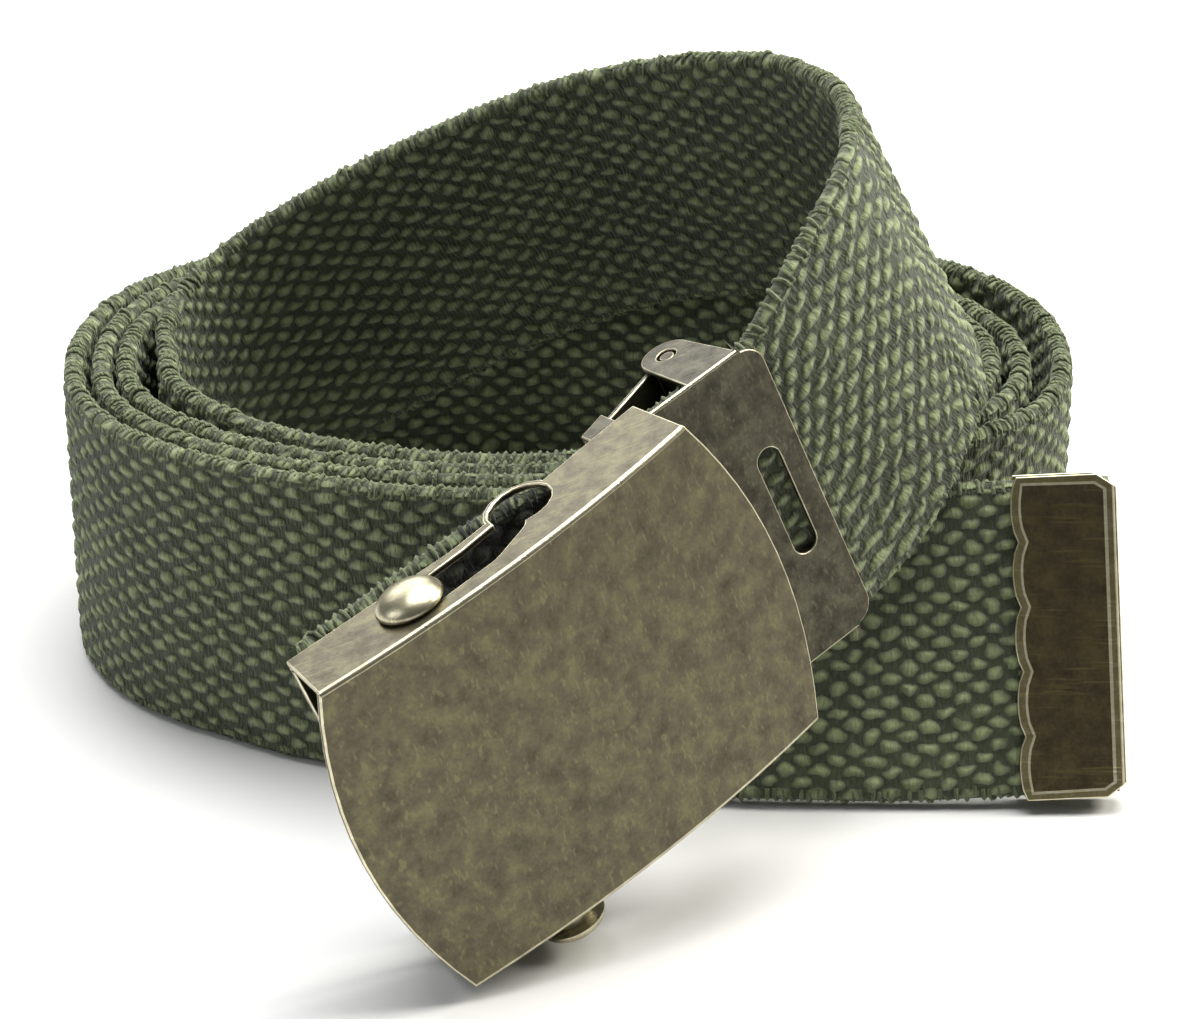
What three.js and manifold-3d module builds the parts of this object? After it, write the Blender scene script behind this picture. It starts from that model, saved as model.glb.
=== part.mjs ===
// Canvas web belt with a box-frame slide buckle, standing coiled on its woven edge.
// Units are millimetres, +Z is up, and the belt stands on z = 0.
import * as THREE from 'three';
import { mergeVertices } from 'three/addons/utils/BufferGeometryUtils.js';
import Module from 'manifold-3d';

const wasm = await Module();
wasm.setup();

// Webbing
const webWidth = 38;
const webThickness = 2.6;
const webEdgeChamfer = 0.7;
const layerGap = 0.3;
const stationSpacing = 4.5;

// Coil, seen from above
const coilLength = 128.8;
const coilDepth = 86.2;
const coilRoundness = 2.35;
const coilStationsPerTurn = 40;
const coilStart = 0.14;
const coilEnd = 3.25;

// Where the buckle leans, from the middle of the coil's plan, and how far it stands before the coil
const buckleStandoff = 39.5;
const buckleCentre = { x: 3, y: -coilDepth / 2 - buckleStandoff, z: 30.2 };
const buckleLengthDirection = new THREE.Vector3(0.7592, 0.5422, 0.3601);
const buckleWidthDirection = new THREE.Vector3(-0.3792, -0.0812, 0.9217);

// Buckle box
const sheet = 0.8;
const clearance = 0.3;
const webSideRoom = 1.2;
const faceLength = 50.6;
const faceEndBow = 4.4;
const faceSag = 2.2;
const faceWidth = webWidth + 2 * (sheet + webSideRoom);
const flangeDepth = 12.6;
const flangeWaistDepth = 10.4;
const slotWidth = 5.8;
const slotStart = -13.8;
const slotEnd = 1.6;
const slotDepth = 6.05;
const keyholeAt = 6.9;
const keyholeDepth = 9.7;
const keyholeRadius = 3.8;
const neckAt = 3.2;
const neckDepth = 7.2;
const neckRadius = 2.3;
const slotRim = 0.7;
const backLipWidth = 5;

// Roller bar
const rollerDiameter = 5;
const rollerAt = -10.6;
const rollerCapDiameter = 8;
const rollerCapHeight = 2;
const rollerDrop = 2.5;

// Clamp at the fixed end of the web
const clampSheet = 0.6;
const clampFrontDepth = 10.6;
const clampInnerEnd = 19;
const clampOuterEnd = 41.5;
const clampCornerRadius = 2.6;
const clampSlotLength = 14.6;
const clampSlotWidth = 3.2;
const clampSlotAt = 36.9;
const clampNotch = 0.9;
const earRadius = 3.1;
const earFlare = 1.1;
const pinAt = 34.6;
const pinDepth = 19.4;
const pinDiameter = 1.8;
const baseInnerEnd = 19.3;
const baseSheet = 0.7;
const baseTabLength = 4;

// Metal tip
const tipLength = 12;
const tipSheet = 0.5;
const tipOverhang = 0.4;
const tipCornerCut = 2.4;
const tipTeeth = 5;
const tipToothHeight = 0.8;

const clampHalf = faceWidth / 2 - sheet - clearance;
const layerPitch = webThickness + layerGap;
const halfLength = coilLength / 2;
const halfDepth = coilDepth / 2;

// The free end's straight run, from the tip to the coil. x and y are shares of half the coil's
// length and depth, lean is how far the top edge tips back in degrees, and lift is how far the
// lower edge is off the ground, as a share of the web's thickness.
const FREE_END = [
  { x: 1.015, y: -1.005, lean: 22, lift: 0.44 },
  { x: 0.84, y: -1.010, lean: 22, lift: 0.26 },
  { x: 0.62, y: -1.005, lean: 23.5, lift: 0 },
  { x: 0.40, y: -0.980, lean: 26, lift: 0 },
  { x: 0.19, y: -1.000, lean: 19, lift: 0 },
  { x: -0.03, y: -1.030, lean: 10, lift: 0 },
  { x: -0.25, y: -0.998, lean: 3.5, lift: 0 },
  { x: -0.50, y: -0.895, lean: 2, lift: 0 },
];

// How far each layer's middle lies inside the coil's outline, in layer pitches. at is the share
// of a turn, counted from the front through the left, the back and the right.
const COIL_LAYERS = [
  { at: 0.00, first: 0.50, second: 1.80, third: 2.80, fourth: 3.80 },
  { at: 0.06, first: 0.50, second: 1.50, third: 2.48, fourth: 3.50 },
  { at: 0.12, first: 0.50, second: 1.55, third: 2.60, fourth: 3.85 },
  { at: 0.19, first: 0.50, second: 1.65, third: 2.80, fourth: 4.60 },
  { at: 0.25, first: 0.50, second: 1.70, third: 2.75, fourth: 4.50 },
  { at: 0.50, first: 0.50, second: 1.55, third: 2.60, fourth: 4.50 },
  { at: 0.70, first: 0.50, second: 3.10, third: 4.20, fourth: 4.50 },
  { at: 0.75, first: 0.55, second: 2.40, third: 3.70, fourth: 4.50 },
  { at: 0.80, first: 0.85, second: 2.50, third: 3.80, fourth: 4.50 },
  { at: 0.85, first: 1.90, second: 3.15, third: 4.35, fourth: 4.50 },
  { at: 0.90, first: 3.40, second: 4.60, third: 5.75, fourth: 4.50 },
  { at: 0.95, first: 3.15, second: 4.30, third: 5.40, fourth: 4.50 },
];
const LAYER_NAMES = ['first', 'second', 'third', 'fourth'];

// The stretch that leaves the coil, rises along the back, turns over at the right and comes
// down in front. x and y are shares of half the coil's length and depth, z of the web's width,
// and the upper edge tips to the left and to the front by so many degrees.
const RISE = [
  { x: -0.78, y: 0.23, z: 0.53, left: 6, front: 9 },
  { x: -0.69, y: 0.455, z: 0.625, left: 16, front: 14 },
  { x: -0.55, y: 0.58, z: 0.76, left: 23.5, front: 14.5 },
  { x: -0.22, y: 0.65, z: 1.06, left: 26, front: 15 },
  { x: 0.125, y: 0.58, z: 1.31, left: 22.5, front: 12 },
  { x: 0.44, y: 0.31, z: 1.465, left: 19.5, front: 7.5 },
  { x: 0.565, y: 0.095, z: 1.50, left: 21, front: 5.5 },
  { x: 0.64, y: -0.165, z: 1.54, left: 26, front: 3.5 },
  { x: 0.65, y: -0.445, z: 1.54, left: 27, front: 5 },
  { x: 0.625, y: -0.73, z: 1.545, left: 28.5, front: 9 },
  { x: 0.55, y: -0.955, z: 1.38, left: 32, front: 13 },
];

// The fixed end inside the buckle. along runs with the buckle's length, depth lies behind its face.
const FIXED_END = [
  { along: 43.5, depth: 13.2 },
  { along: 32, depth: 13.0 },
  { along: 17, depth: 13.2 },
  { along: 5, depth: 16.2 },
  { along: -7, depth: 16.8 },
  { along: -20.5, depth: 17.2 },
];

const finishes = {
  canvas: { color: 0x5c6547, roughness: 0.95, metalness: 0 },
  brass: { color: 0x6f6750, roughness: 0.42, metalness: 1 },
  darkBrass: { color: 0x514a3f, roughness: 0.45, metalness: 1 },
  tipBrass: { color: 0x5f573f, roughness: 0.4, metalness: 1 },
};

const up = new THREE.Vector3(0, 0, 1);

// Makes a named mesh from a geometry and a finish.
function piece(name, geometry, finish) {
  const mesh = new THREE.Mesh(geometry, new THREE.MeshStandardMaterial(finish));
  mesh.name = name;
  return mesh;
}

// Turns a three.js geometry into a manifold-3d solid.
function solid(geometry) {
  const plain = geometry.clone();
  plain.deleteAttribute('normal');
  plain.deleteAttribute('uv');
  const merged = mergeVertices(plain, 1e-4);
  return new wasm.Manifold(new wasm.Mesh({
    numProp: 3,
    vertProperties: new Float32Array(merged.attributes.position.array),
    triVerts: new Uint32Array(merged.index.array),
  }));
}

// Turns a manifold-3d solid back into a three.js geometry.
function geometryOf(manifold) {
  const mesh = manifold.getMesh();
  const geometry = new THREE.BufferGeometry();
  const corners = new Float32Array(mesh.vertProperties);
  geometry.setAttribute('position', new THREE.BufferAttribute(corners, 3));
  geometry.setIndex(new THREE.BufferAttribute(new Uint32Array(mesh.triVerts), 1));
  geometry.computeVertexNormals();
  return geometry;
}

// Extrudes a shape drawn in the plane of the buckle's length and depth across its width.
function acrossWidth(shape, from, to, curveSegments = 8) {
  const options = { depth: to - from, bevelEnabled: false, curveSegments };
  const geometry = new THREE.ExtrudeGeometry(shape, options);
  geometry.rotateX(Math.PI / 2);
  geometry.translate(0, to, 0);
  return geometry;
}

// Extrudes a shape drawn on the buckle's face through its depth.
function throughDepth(shape, from, to, curveSegments = 8) {
  const options = { depth: to - from, bevelEnabled: false, curveSegments };
  const geometry = new THREE.ExtrudeGeometry(shape, options);
  geometry.translate(0, 0, from);
  return geometry;
}

// Closed shape through a list of [x, y] corners.
function outline(points) {
  const shape = new THREE.Shape();
  points.forEach(([x, y], i) => (i === 0 ? shape.moveTo(x, y) : shape.lineTo(x, y)));
  shape.closePath();
  return shape;
}

// Slot with round ends, lying along x and centred at (x, y).
function roundSlot(x, y, length, width) {
  const r = width / 2;
  const reach = length / 2 - r;
  const shape = new THREE.Shape();
  shape.absarc(x + reach, y, r, -Math.PI / 2, Math.PI / 2);
  shape.absarc(x - reach, y, r, Math.PI / 2, (3 * Math.PI) / 2);
  shape.closePath();
  return shape;
}

// The coil's outline from above, drawn in by inset, at a polar angle in radians.
function coilPoint(angle, inset) {
  const a = halfLength - inset;
  const b = halfDepth - inset;
  const c = Math.abs(Math.cos(angle) / a) ** coilRoundness;
  const s = Math.abs(Math.sin(angle) / b) ** coilRoundness;
  const radius = (c + s) ** (-1 / coilRoundness);
  return new THREE.Vector3(radius * Math.cos(angle), radius * Math.sin(angle), webWidth / 2);
}

// Inset of the web's middle at a turn, read smoothly from the layer table.
function coilInset(turn) {
  const count = COIL_LAYERS.length;
  const row = (k) => {
    const layer = Math.floor(k / count);
    const entry = COIL_LAYERS[k - layer * count];
    const name = LAYER_NAMES[Math.min(Math.max(layer, 0), LAYER_NAMES.length - 1)];
    return { turn: layer + entry.at, inset: entry[name] * layerPitch };
  };
  let k = 0;
  while (row(k + 1).turn <= turn) k += 1;
  const [a, b, c, d] = [row(Math.max(k - 1, 0)), row(k), row(k + 1), row(k + 2)];
  const slopeAtB = (c.inset - a.inset) / (c.turn - a.turn);
  const slopeAtC = (d.inset - b.inset) / (d.turn - b.turn);
  const span = c.turn - b.turn;
  const t = (turn - b.turn) / span;
  const h1 = 2 * t ** 3 - 3 * t ** 2 + 1;
  const h2 = t ** 3 - 2 * t ** 2 + t;
  const h3 = -2 * t ** 3 + 3 * t ** 2;
  const h4 = t ** 3 - t ** 2;
  return h1 * b.inset + h2 * span * slopeAtB + h3 * c.inset + h4 * span * slopeAtC;
}

// The buckle's own frame: x along the belt, y across it, z out of the face.
const alongBuckle = buckleLengthDirection.clone().normalize();
const acrossBuckle = buckleWidthDirection.clone()
  .addScaledVector(alongBuckle, -buckleWidthDirection.dot(alongBuckle)).normalize();
const outOfBuckle = new THREE.Vector3().crossVectors(alongBuckle, acrossBuckle);
const buckleOrigin = new THREE.Vector3(buckleCentre.x, buckleCentre.y, buckleCentre.z);

function inBuckle(along, across, depth) {
  return buckleOrigin.clone().addScaledVector(alongBuckle, along)
    .addScaledVector(acrossBuckle, across).addScaledVector(outOfBuckle, -depth);
}

// Every station of the web, from the free end to the cut tail: its middle and its upward edge.
function webStations() {
  const radians = THREE.MathUtils.degToRad;
  const stations = [];
  for (const row of FREE_END) {
    const lean = radians(row.lean);
    const edge = new THREE.Vector3(0, Math.sin(lean), Math.cos(lean));
    const height = (webWidth / 2) * Math.cos(lean) + (webThickness / 2) * Math.sin(lean);
    const z = height + row.lift * webThickness;
    const middle = new THREE.Vector3(row.x * halfLength, row.y * halfDepth, z);
    stations.push({ middle, edge });
  }
  const steps = Math.round((coilEnd - coilStart) * coilStationsPerTurn);
  for (let i = 0; i <= steps; i += 1) {
    const turn = coilStart + ((coilEnd - coilStart) * i) / steps;
    const middle = coilPoint(Math.PI * (1.5 - 2 * turn), coilInset(turn));
    stations.push({ middle, edge: up.clone() });
  }
  for (const row of RISE) {
    const edge = new THREE.Vector3(-Math.tan(radians(row.left)), -Math.tan(radians(row.front)), 1);
    const middle = new THREE.Vector3(row.x * halfLength, row.y * halfDepth, row.z * webWidth);
    stations.push({ middle, edge: edge.normalize() });
  }
  for (const row of FIXED_END) {
    stations.push({ middle: inBuckle(row.along, 0, row.depth), edge: acrossBuckle.clone() });
  }
  return stations;
}

// Smooth frames along the web: middle, edge direction, outward normal and direction of travel.
function webFrames() {
  const stations = webStations();
  const path = new THREE.CatmullRomCurve3(stations.map((s) => s.middle), false, 'centripetal');
  const edges = new THREE.CatmullRomCurve3(stations.map((s) => s.edge), false, 'catmullrom', 0.5);
  path.arcLengthDivisions = stations.length * 20;
  const count = Math.round(path.getLength() / stationSpacing);
  const frames = [];
  for (let i = 0; i <= count; i += 1) {
    const t = path.getUtoTmapping(i / count);
    const travel = path.getTangent(t);
    const edge = edges.getPoint(t);
    edge.addScaledVector(travel, -edge.dot(travel)).normalize();
    const out = new THREE.Vector3().crossVectors(edge, travel);
    frames.push({ middle: path.getPoint(t), edge, out, travel });
  }
  return frames;
}

// Closed strap of a flat section with chamfered edges, swept through the frames.
function strap(frames) {
  const w = webWidth / 2;
  const t = webThickness / 2;
  const c = webEdgeChamfer;
  const section = [
    [w, t - c], [w - c, t], [c - w, t], [-w, t - c],
    [-w, c - t], [c - w, -t], [w - c, -t], [w, c - t],
  ];
  const sides = section.length;
  const positions = [];
  const index = [];
  for (const frame of frames) {
    for (const [across, out] of section) {
      const p = frame.middle.clone().addScaledVector(frame.edge, across).addScaledVector(frame.out, out);
      positions.push(p.x, p.y, p.z);
    }
  }
  for (let i = 0; i + 1 < frames.length; i += 1) {
    for (let k = 0; k < sides; k += 1) {
      const a = i * sides + k;
      const b = i * sides + ((k + 1) % sides);
      index.push(a, a + sides, b, b, a + sides, b + sides);
    }
  }
  const last = (frames.length - 1) * sides;
  for (let k = 1; k + 1 < sides; k += 1) {
    index.push(0, k, k + 1);
    index.push(last, last + k + 1, last + k);
  }
  const geometry = new THREE.BufferGeometry();
  geometry.setAttribute('position', new THREE.BufferAttribute(new Float32Array(positions), 3));
  geometry.setIndex(index);
  return geometryOf(solid(geometry));
}

// Depth of the bowed face's outer surface behind its crown, at a place along the belt.
function faceDrop(along) {
  return faceSag * (along / (faceLength / 2)) ** 2;
}

// Half the face's length at a place across it, with its bowed ends.
function faceReach(across) {
  return faceLength / 2 + faceEndBow * (1 - (across / (faceWidth / 2)) ** 2);
}

// Two circles joined by their outer tangents.
function taperedSlot(x1, y1, r1, x2, y2, r2) {
  const heading = Math.atan2(y2 - y1, x2 - x1);
  const side = Math.acos((r1 - r2) / Math.hypot(x2 - x1, y2 - y1));
  const shape = new THREE.Shape();
  shape.absarc(x1, y1, r1, heading + side, heading - side + Math.PI * 2);
  shape.absarc(x2, y2, r2, heading - side, heading + side);
  shape.closePath();
  return shape;
}

// The flange's keyhole slot, made larger by a margin: a straight run, a narrow neck and a round end.
function slotShapes(margin) {
  const r = slotWidth / 2 + margin;
  const length = slotEnd - slotStart + margin * 2;
  const straight = roundSlot((slotStart + slotEnd) / 2, -slotDepth, length, r * 2);
  const neck = taperedSlot(
    slotEnd - slotWidth / 2, -slotDepth, r, neckAt, -neckDepth, neckRadius + margin,
  );
  const round = new THREE.Shape();
  round.absarc(keyholeAt, -keyholeDepth, keyholeRadius + margin, 0, Math.PI * 2);
  return [straight, neck, round];
}

// The bent box frame: bowed face, two slotted flanges and the lip across the back of its left end.
function buckleBox() {
  const steps = 12;
  const reach = faceLength / 2 + faceEndBow;
  const faceSection = [];
  for (let i = 0; i <= steps; i += 1) {
    const x = -reach + (2 * reach * i) / steps;
    faceSection.push([x, -faceDrop(x)]);
  }
  for (let i = steps; i >= 0; i -= 1) {
    const x = -reach + (2 * reach * i) / steps;
    faceSection.push([x, -faceDrop(x) - sheet]);
  }
  const half = faceWidth / 2;
  const face = solid(acrossWidth(outline(faceSection), -half, half));
  const ends = [];
  for (let i = 0; i <= steps; i += 1) {
    const y = -half + (faceWidth * i) / steps;
    ends.push([faceReach(y), y]);
  }
  for (let i = steps; i >= 0; i -= 1) {
    const y = -half + (faceWidth * i) / steps;
    ends.push([-faceReach(y), y]);
  }
  const trimmed = face.intersect(solid(throughDepth(outline(ends), -flangeDepth, sheet)));

  const edge = faceLength / 2;
  const flangeSection = [];
  for (let i = 0; i <= steps; i += 1) {
    const x = -edge + (faceLength * i) / steps;
    flangeSection.push([x, -faceDrop(x) - sheet / 2]);
  }
  flangeSection.push([edge, -flangeDepth], [edge * 0.65, -flangeDepth + 0.9]);
  flangeSection.push([keyholeAt, -flangeWaistDepth]);
  flangeSection.push([neckAt, -flangeWaistDepth - 0.4], [slotStart * 0.2, -flangeWaistDepth]);
  flangeSection.push([slotStart, -flangeWaistDepth - 0.8], [1.2 - edge, -flangeDepth + 0.6]);
  const flangeShapes = [outline(flangeSection), ...slotShapes(slotRim)];
  const join = (shapes, from, to) => shapes
    .map((shape) => solid(acrossWidth(shape, from, to)))
    .reduce((all, next) => all.add(next));
  const flanges = join(flangeShapes, half - sheet, half).add(join(flangeShapes, -half, sheet - half));
  const cutter = join(slotShapes(0), -half - 1, half + 1);

  const lipDepth = flangeDepth - 0.6;
  const lipStart = 1.2 - edge;
  const lip = solid(acrossWidth(outline([
    [lipStart, -lipDepth], [lipStart + backLipWidth, -lipDepth],
    [lipStart + backLipWidth, -lipDepth + sheet], [lipStart, -lipDepth + sheet],
  ]), -half + sheet / 2, half - sheet / 2));
  return geometryOf(trimmed.add(flanges.subtract(cutter)).add(lip));
}

// The loose bar with a domed cap outside each flange. It hangs by its upper cap, so its lower
// cap stands off the lower flange.
function rollerBar() {
  const r = rollerDiameter / 2;
  const capRadius = rollerCapDiameter / 2;
  const upper = faceWidth / 2 + clearance;
  const lower = -upper - rollerDrop;
  const domeSteps = 4;
  const dome = (i) => {
    const angle = (Math.PI / 2) * (i / domeSteps);
    return [capRadius * Math.sin(angle), rollerCapHeight * Math.cos(angle)];
  };
  const profile = [];
  for (let i = 0; i <= domeSteps; i += 1) profile.push([dome(i)[0], lower - dome(i)[1]]);
  profile.push([r, lower], [r, upper]);
  for (let i = domeSteps; i >= 0; i -= 1) profile.push([dome(i)[0], upper + dome(i)[1]]);
  const geometry = new THREE.LatheGeometry(profile.map(([x, y]) => new THREE.Vector2(x, y)), 24);
  geometry.translate(rollerAt, 0, -slotDepth);
  return geometryOf(solid(geometry));
}

// Ear seen along the pin: a tab from the clamp plate back to the pin, round at the pin.
function earShape(hole) {
  const shape = new THREE.Shape();
  shape.moveTo(pinAt - earRadius, -clampFrontDepth);
  shape.lineTo(pinAt - earRadius, -pinDepth);
  shape.absarc(pinAt, -pinDepth, earRadius, Math.PI, Math.PI * 2);
  shape.lineTo(pinAt + earRadius + earFlare, -clampFrontDepth);
  shape.closePath();
  const bore = new THREE.Path();
  bore.absarc(pinAt, -pinDepth, hole, 0, Math.PI * 2);
  shape.holes.push(bore);
  return shape;
}

// The slotted plate over the web, with an ear at each edge that reaches back to the pin.
function clampPlate() {
  const r = clampCornerRadius;
  const earEnd = pinAt + earRadius + earFlare;
  const shape = new THREE.Shape();
  shape.moveTo(clampInnerEnd, -clampHalf);
  shape.lineTo(earEnd, -clampHalf);
  shape.lineTo(earEnd + clampNotch / 3, -clampHalf + clampNotch);
  shape.lineTo(clampOuterEnd - r, -clampHalf + clampNotch / 2);
  shape.absarc(clampOuterEnd - r, -clampHalf + clampNotch / 2 + r, r, -Math.PI / 2, 0);
  shape.absarc(clampOuterEnd - r, clampHalf - clampNotch / 2 - r, r, 0, Math.PI / 2);
  shape.lineTo(earEnd + clampNotch / 3, clampHalf - clampNotch);
  shape.lineTo(earEnd, clampHalf);
  shape.lineTo(clampInnerEnd, clampHalf);
  shape.closePath();
  const window = roundSlot(0, 0, clampSlotLength, clampSlotWidth).getPoints(8)
    .map((p) => new THREE.Vector2(clampSlotAt - p.y, p.x));
  shape.holes.push(new THREE.Path(window));
  const plate = solid(throughDepth(shape, -clampFrontDepth - clampSheet, -clampFrontDepth));
  const ears = [clampHalf - clampSheet, -clampHalf]
    .map((from) => solid(acrossWidth(earShape(pinDiameter / 2 + clearance), from, from + clampSheet, 12)));
  return geometryOf(plate.add(ears[0]).add(ears[1]));
}

// The plate behind the web: it leans back from the box to a knuckle round the pin, and has a
// small tab inside each flange.
function clampBase() {
  const boreRadius = pinDiameter / 2 + clearance;
  const knuckle = boreRadius + baseSheet;
  const half = clampHalf - clampSheet - clearance;
  const front = FIXED_END[1].depth + webThickness / 2 + clearance * 2.5;
  const back = pinDepth + knuckle - baseSheet;
  const fall = (back - front) / (pinAt - baseInnerEnd);
  const plate = solid(acrossWidth(outline([
    [baseInnerEnd, -front], [baseInnerEnd, -front - baseSheet],
    [pinAt, -back - baseSheet], [pinAt, -back],
  ]), -half, half));
  const ring = new THREE.Shape();
  ring.absarc(pinAt, -pinDepth, knuckle, 0, Math.PI * 2);
  const bore = new THREE.Shape();
  bore.absarc(pinAt, -pinDepth, boreRadius, 0, Math.PI * 2);
  const sleeve = solid(acrossWidth(ring, -half, half, 12));
  const hollow = solid(acrossWidth(bore, -half - 1, half + 1, 12));
  const tabFront = clampFrontDepth + clampSheet + clearance;
  const tabSection = outline([
    [baseInnerEnd, -tabFront], [baseInnerEnd, -front - baseSheet],
    [baseInnerEnd + baseTabLength, -front - baseSheet - baseTabLength * fall],
    [baseInnerEnd + baseTabLength, -tabFront],
  ]);
  const web = webWidth / 2 + clearance;
  const tabs = [web, -clampHalf]
    .map((from) => solid(acrossWidth(tabSection, from, from + clampHalf - web)));
  const bridges = [half - baseSheet, -web - baseSheet / 2]
    .map((from) => solid(acrossWidth(outline([
      [baseInnerEnd, -front], [baseInnerEnd, -front - baseSheet],
      [baseInnerEnd + baseTabLength, -front - baseSheet - baseTabLength * fall],
      [baseInnerEnd + baseTabLength, -front - baseTabLength * fall],
    ]), from, from + web - half + baseSheet * 1.5)));
  return geometryOf([sleeve, ...tabs, ...bridges]
    .reduce((all, next) => all.add(next), plate).subtract(hollow));
}

// The pin through the ears and the knuckle.
function hingePin() {
  const half = clampHalf - clampSheet / 4;
  const geometry = new THREE.CylinderGeometry(pinDiameter / 2, pinDiameter / 2, half * 2, 16);
  geometry.translate(pinAt, 0, -pinDepth);
  return geometryOf(solid(geometry));
}

// The folded metal tip, in the frame of the web's free end: x along the web and out past its
// end, y across it, z out of its outer face.
function tipCap() {
  const inside = webThickness / 2 + clearance;
  const outside = inside + tipSheet;
  const half = webWidth / 2 + tipOverhang;
  const endInside = clearance;
  const endOutside = endInside + tipSheet;
  const start = endOutside - tipLength;
  const toothStart = start - tipToothHeight;
  const fold = outline([
    [toothStart, outside], [endInside, outside], [endOutside, inside],
    [endOutside, -inside], [endInside, -outside], [toothStart, -outside],
    [toothStart, -inside], [endInside, -inside], [endInside, inside], [toothStart, inside],
  ]);
  const sleeve = solid(acrossWidth(fold, -half, half));
  const edge = [];
  const pitch = (2 * half) / tipTeeth;
  const toothSteps = 6;
  for (let tooth = 0; tooth < tipTeeth; tooth += 1) {
    for (let i = 0; i < toothSteps; i += 1) {
      const share = i / toothSteps;
      const bulge = tipToothHeight * Math.sin(Math.PI * share) ** 0.6;
      edge.push([start - bulge, half - pitch * (tooth + share)]);
    }
  }
  edge.push([start, -half], [endOutside - tipCornerCut, -half], [endOutside + 1, -half + tipCornerCut]);
  edge.push([endOutside + 1, half - tipCornerCut], [endOutside - tipCornerCut, half]);
  const trim = solid(throughDepth(outline(edge), -outside - 1, outside + 1));
  return geometryOf(sleeve.intersect(trim));
}

const frames = webFrames();
const belt = new THREE.Group();
belt.add(piece('webbing', strap(frames), finishes.canvas));

const buckle = new THREE.Group();
buckle.add(piece('buckle_box', buckleBox(), finishes.brass));
buckle.add(piece('roller_bar', rollerBar(), finishes.brass));
buckle.add(piece('clamp_plate', clampPlate(), finishes.darkBrass));
buckle.add(piece('clamp_base', clampBase(), finishes.darkBrass));
buckle.add(piece('hinge_pin', hingePin(), finishes.darkBrass));
const buckleFrame = new THREE.Matrix4().makeBasis(alongBuckle, acrossBuckle, outOfBuckle);
buckle.quaternion.setFromRotationMatrix(buckleFrame);
buckle.position.copy(buckleOrigin);
belt.add(buckle);

const freeEnd = frames[0];
const tip = piece('tip_cap', tipCap(), finishes.tipBrass);
const outward = freeEnd.travel.clone().negate();
const tipFrame = new THREE.Matrix4().makeBasis(outward, freeEnd.edge, outward.clone().cross(freeEnd.edge));
tip.quaternion.setFromRotationMatrix(tipFrame);
tip.position.copy(freeEnd.middle);
belt.add(tip);

// The origin is under the middle of the whole belt, on the surface that it stands on.
belt.updateMatrixWorld(true);
const bounds = new THREE.Box3().setFromObject(belt, true);
const middle = bounds.getCenter(new THREE.Vector3());
const part = new THREE.Group();
belt.position.set(-middle.x, -middle.y, -bounds.min.z);
part.add(belt);

export default part;
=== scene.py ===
"""Coiled canvas web belt with a box-frame slide buckle and a folded metal tip."""
import logging
import math
from dataclasses import dataclass, field
from enum import Enum, IntEnum
from typing import NamedTuple

import bmesh
import bpy
import numpy as np
from mathutils import Matrix, Vector


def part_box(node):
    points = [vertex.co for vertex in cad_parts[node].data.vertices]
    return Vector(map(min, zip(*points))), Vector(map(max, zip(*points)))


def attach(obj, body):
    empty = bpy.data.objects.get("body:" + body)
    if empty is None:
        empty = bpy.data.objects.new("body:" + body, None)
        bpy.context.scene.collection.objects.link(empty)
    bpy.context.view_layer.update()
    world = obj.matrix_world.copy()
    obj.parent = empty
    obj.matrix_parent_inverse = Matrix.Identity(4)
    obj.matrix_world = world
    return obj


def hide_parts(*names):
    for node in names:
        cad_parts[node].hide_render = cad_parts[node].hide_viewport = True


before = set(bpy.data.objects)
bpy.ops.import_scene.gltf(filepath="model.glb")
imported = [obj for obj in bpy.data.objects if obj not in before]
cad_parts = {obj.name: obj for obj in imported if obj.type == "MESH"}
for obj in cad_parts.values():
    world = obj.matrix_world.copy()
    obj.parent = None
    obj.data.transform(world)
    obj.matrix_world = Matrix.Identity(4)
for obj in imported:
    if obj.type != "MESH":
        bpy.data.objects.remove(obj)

MM = 0.001
log = logging.getLogger("web_belt")


class Body(Enum):
    """The moving bodies of the frame."""

    BELT = "belt"
    ROLLER = "roller"


class Slot(Enum):
    """The material slots of the record."""

    CANVAS = "canvas"
    BRASS = "antique_brass"
    DARK_BRASS = "dark_brass"
    TIP_BRASS = "tip_brass"


class Look(IntEnum):
    """The places of a sheet's finishes in its list of materials."""

    OUTSIDE = 0
    EDGE = 1
    INSIDE = 2
    BEND = 3
    MARGIN = 4


def linear(hex_colour: str) -> tuple[float, float, float, float]:
    """Turns an sRGB hex colour to linear RGBA.

    Args:
        hex_colour: Six hex digits with a leading hash.

    Returns:
        The linear red, green and blue values and an alpha of one.
    """
    values = [int(hex_colour[i : i + 2], 16) / 255 for i in (1, 3, 5)]
    r, g, b = (v / 12.92 if v <= 0.04045 else ((v + 0.055) / 1.055) ** 2.4 for v in values)
    return (r, g, b, 1.0)


def add_node(tree: bpy.types.NodeTree, kind: str, inputs: dict | None = None, **settings: object) -> bpy.types.Node:
    """Adds a node with its settings, values and links.

    Args:
        tree: The node tree that takes the node.
        kind: The node's type name.
        inputs: Values, output sockets, or nodes whose first output is meant, by input name or number.
        **settings: Properties of the node.

    Returns:
        The new node.
    """
    node = tree.nodes.new(kind)
    for name, value in settings.items():
        setattr(node, name, value)
    for key, value in (inputs or {}).items():
        if isinstance(value, bpy.types.Node):
            value = value.outputs[0]
        if isinstance(value, bpy.types.NodeSocket):
            tree.links.new(value, node.inputs[key])
        else:
            node.inputs[key].default_value = value
    return node


def start_material(name: str) -> tuple[bpy.types.Material, bpy.types.NodeTree]:
    """Makes an empty node material.

    Args:
        name: The material's name.

    Returns:
        The material and its node tree.
    """
    material = bpy.data.materials.new(name)
    material.use_nodes = True
    material.node_tree.nodes.clear()
    return material, material.node_tree


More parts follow.
